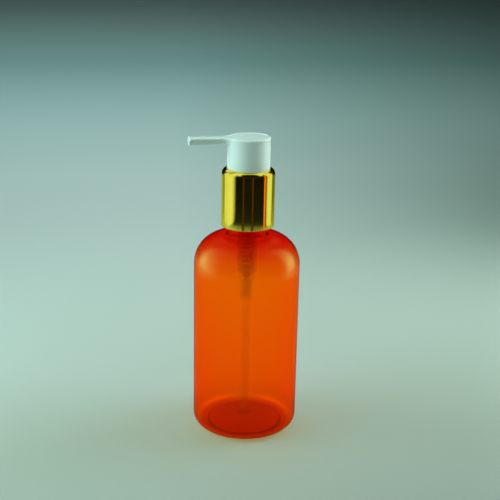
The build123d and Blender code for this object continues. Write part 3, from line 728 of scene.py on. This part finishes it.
def soft_box(name, place, aim, width, height, power, colour):
    lamp = bpy.data.lights.new(name, "AREA")
    lamp.shape = "RECTANGLE"
    lamp.size, lamp.size_y = width, height
    lamp.energy = power
    lamp.color = colour
    made = bpy.data.objects.new(name, lamp)
    made.location = place
    made.rotation_euler = (Vector(aim) - Vector(place)).to_track_quat("-Z", "Y").to_euler()
    made.visible_camera = False
    bpy.context.scene.collection.objects.link(made)
    return made


CARD_BACK = 0.30


def only_in_mirrors(made):
    for flag in ("camera", "diffuse", "transmission", "volume_scatter", "shadow"):
        setattr(made, "visible_" + flag, False)


def card(name, turn, half_width, low, high, glow, colour, fade):
    """A lit panel that only shines in mirrors: turn and half_width in degrees off the camera."""
    n = Nodes(name)
    across = n.node("SeparateXYZ", Vector=n.node("TexCoord").outputs["Generated"]).outputs["X"]
    offset = n.math("SUBTRACT", n.math("MULTIPLY", across, 2.0), 1.0)
    edge = n.math("SUBTRACT", 1.0, n.math("ABSOLUTE", offset))
    soft_edge = n.spread(edge, 0.0, 1.0, 0.0, fade)
    uneven = n.spread(n.noise(9.0, 2.0), 0.92, 1.08)
    power = n.math("MULTIPLY", n.math("MULTIPLY", soft_edge, uneven), glow)
    lit = n.node("Emission", Color=(*colour, 1.0), Strength=power)
    half = CARD_BACK * tan(radians(half_width))
    points = [(-half, 0, low), (half, 0, low), (half, 0, high), (-half, 0, high)]
    made = mesh_object(name, points, [(0, 1, 2, 3)], n.done(lit.outputs["Emission"]))
    bearing = CAMERA_TURN + radians(turn)
    towards = Vector((sin(bearing), -cos(bearing), 0.0))
    made.matrix_world = Matrix.Translation(towards * CARD_BACK) @ Matrix.Rotation(bearing, 4, "Z")
    only_in_mirrors(made)
    return made


ARCH_DEEP = 0.25


def overhead_card(name, height, half, near, far, glow, colour):
    """A lit panel overhead that only shines in mirrors, cut back in an arch on the near side."""
    n = Nodes(name)
    across = n.math("DIVIDE", n.along("X"), 0.7 * half)
    arch = n.math("MAXIMUM", n.math("SUBTRACT", 1.0, n.math("MULTIPLY", across, across)), 0.0)
    edge = n.math("MULTIPLY_ADD", arch, ARCH_DEEP, near)
    inside = n.spread(n.math("SUBTRACT", n.along("Y"), edge), 0.0, 1.0, -0.02, 0.12)
    uneven = n.math("MULTIPLY", n.spread(n.noise(9.0, 2.0), 0.92, 1.08), glow)
    power = n.math("MULTIPLY", inside, uneven)
    lit = n.node("Emission", Color=(*colour, 1.0), Strength=power)
    points = [(-half, near, height), (half, near, height), (half, far, height), (-half, far, height)]
    made = mesh_object(name, points, [(0, 1, 2, 3)], n.done(lit.outputs["Emission"]))
    only_in_mirrors(made)
    return made


STUDIO = (0.68, 1.0, 0.92)
CARD_LIGHT = (0.78, 1.0, 0.95)
RUST = (1.0, 0.50, 0.15)
FILL_LIGHT = (0.020, 0.026, 0.024)
lamps = [
    soft_box("left_box", (-0.34, 0.00, 0.26), (0, 0, 0.13), 0.36, 0.36, 1.62, STUDIO),
    soft_box("right_box", (0.34, 0.04, 0.26), (0, 0.02, 0.13), 0.30, 0.36, 1.70, (0.80, 1.0, 0.90)),
    soft_box("front_box", (-0.10, -0.70, 0.40), (0, 0, 0.12), 0.60, 0.40, 0.86, STUDIO),
    soft_box("top_box", (-0.10, 0.80, 1.30), (0, 0.90, 0.0), 1.2, 1.0, 10.0, STUDIO),
]
for lamp_object in lamps:
    lamp_object.visible_glossy = False
    lamp_object.visible_transmission = False
cards = [
    card("left_card", -90, 38, 0.020, 0.55, 0.95, CARD_LIGHT, 0.5),
    card("right_card", 104, 23, 0.020, 0.55, 0.95, CARD_LIGHT, 0.5),
    card("orange_card", 75, 5, 0.010, 0.30, 1.05, (1.0, 0.26, 0.02), 0.6),
    card("rust_card_left", -19, 5, 0.0, 0.25, 0.075, RUST, 0.8),
    card("rust_card_right", 20, 5, 0.0, 0.25, 0.075, RUST, 0.8),
    overhead_card("top_card", 0.55, 0.45, -0.34, 0.80, 0.95, CARD_LIGHT),
]
paper_floor()

ROOM_PALE = (0.44, 0.61, 0.57, 1.0)
ROOM_DIM = (0.016, 0.015, 0.014, 1.0)
# mirrors' first look at the room counts as depth 2, so only what is deeper has been through the bottle
PAST_FIRST_MIRROR = 2.5


def room():
    """Pale where the camera looks past the paper, dim in mirrors, and a faint fill on matt faces."""
    n = Nodes("room", world=True)
    pale = n.node("Background", Color=ROOM_PALE).outputs["Background"]
    dim = n.node("Background", Color=ROOM_DIM).outputs["Background"]
    fill = n.node("Background", Color=(*FILL_LIGHT, 1.0)).outputs["Background"]
    sight = n.node("LightPath").outputs
    seen = n.math("MAXIMUM", sight["Is Camera Ray"], sight["Is Transmission Ray"])
    # light that has already been through the bottle also finds the room pale
    later = n.math("GREATER_THAN", sight["Ray Depth"], PAST_FIRST_MIRROR)
    spared = n.math("SUBTRACT", later, sight["Is Diffuse Ray"])
    looked_at = n.mix(n.math("MAXIMUM", seen, spared), dim, pale)
    return n.done(n.mix(sight["Is Diffuse Ray"], looked_at, fill))


bpy.context.scene.world = room()

# ---------------------------------------------------------------- camera
CAMERA_UP = 1.686 * tall
PITCH_DOWN = 0.318
LEAN = 0.019
AIM_SIDE = 0.003
LENS = 74.47

camera = bpy.data.objects.new("camera", bpy.data.cameras.new("camera"))
bpy.context.scene.collection.objects.link(camera)
camera.data.lens = LENS
camera.data.sensor_width = 36.0
camera.data.clip_start = 0.01
away = Vector((-sin(CAMERA_TURN), cos(CAMERA_TURN), 0.0))
camera_place = Vector((0, 0, CAMERA_UP)) - away * CAMERA_BACK
away = Matrix.Rotation(-AIM_SIDE, 3, "Z") @ away
across = Vector((away.y, -away.x, 0.0))
ahead = away * cos(PITCH_DOWN) - Vector((0, 0, sin(PITCH_DOWN)))
above = across.cross(ahead)
right = across * cos(LEAN) + above * sin(LEAN)
upward = above * cos(LEAN) - across * sin(LEAN)
turned = Matrix((right, upward, -ahead)).transposed().to_4x4()
turned.translation = camera_place
camera.matrix_world = turned
bpy.context.scene.camera = camera
bpy.context.scene.view_settings.view_transform = "Standard"
bpy.context.scene.cycles.max_bounces = 16
bpy.context.scene.cycles.transmission_bounces = 14
bpy.context.scene.cycles.transparent_max_bounces = 16
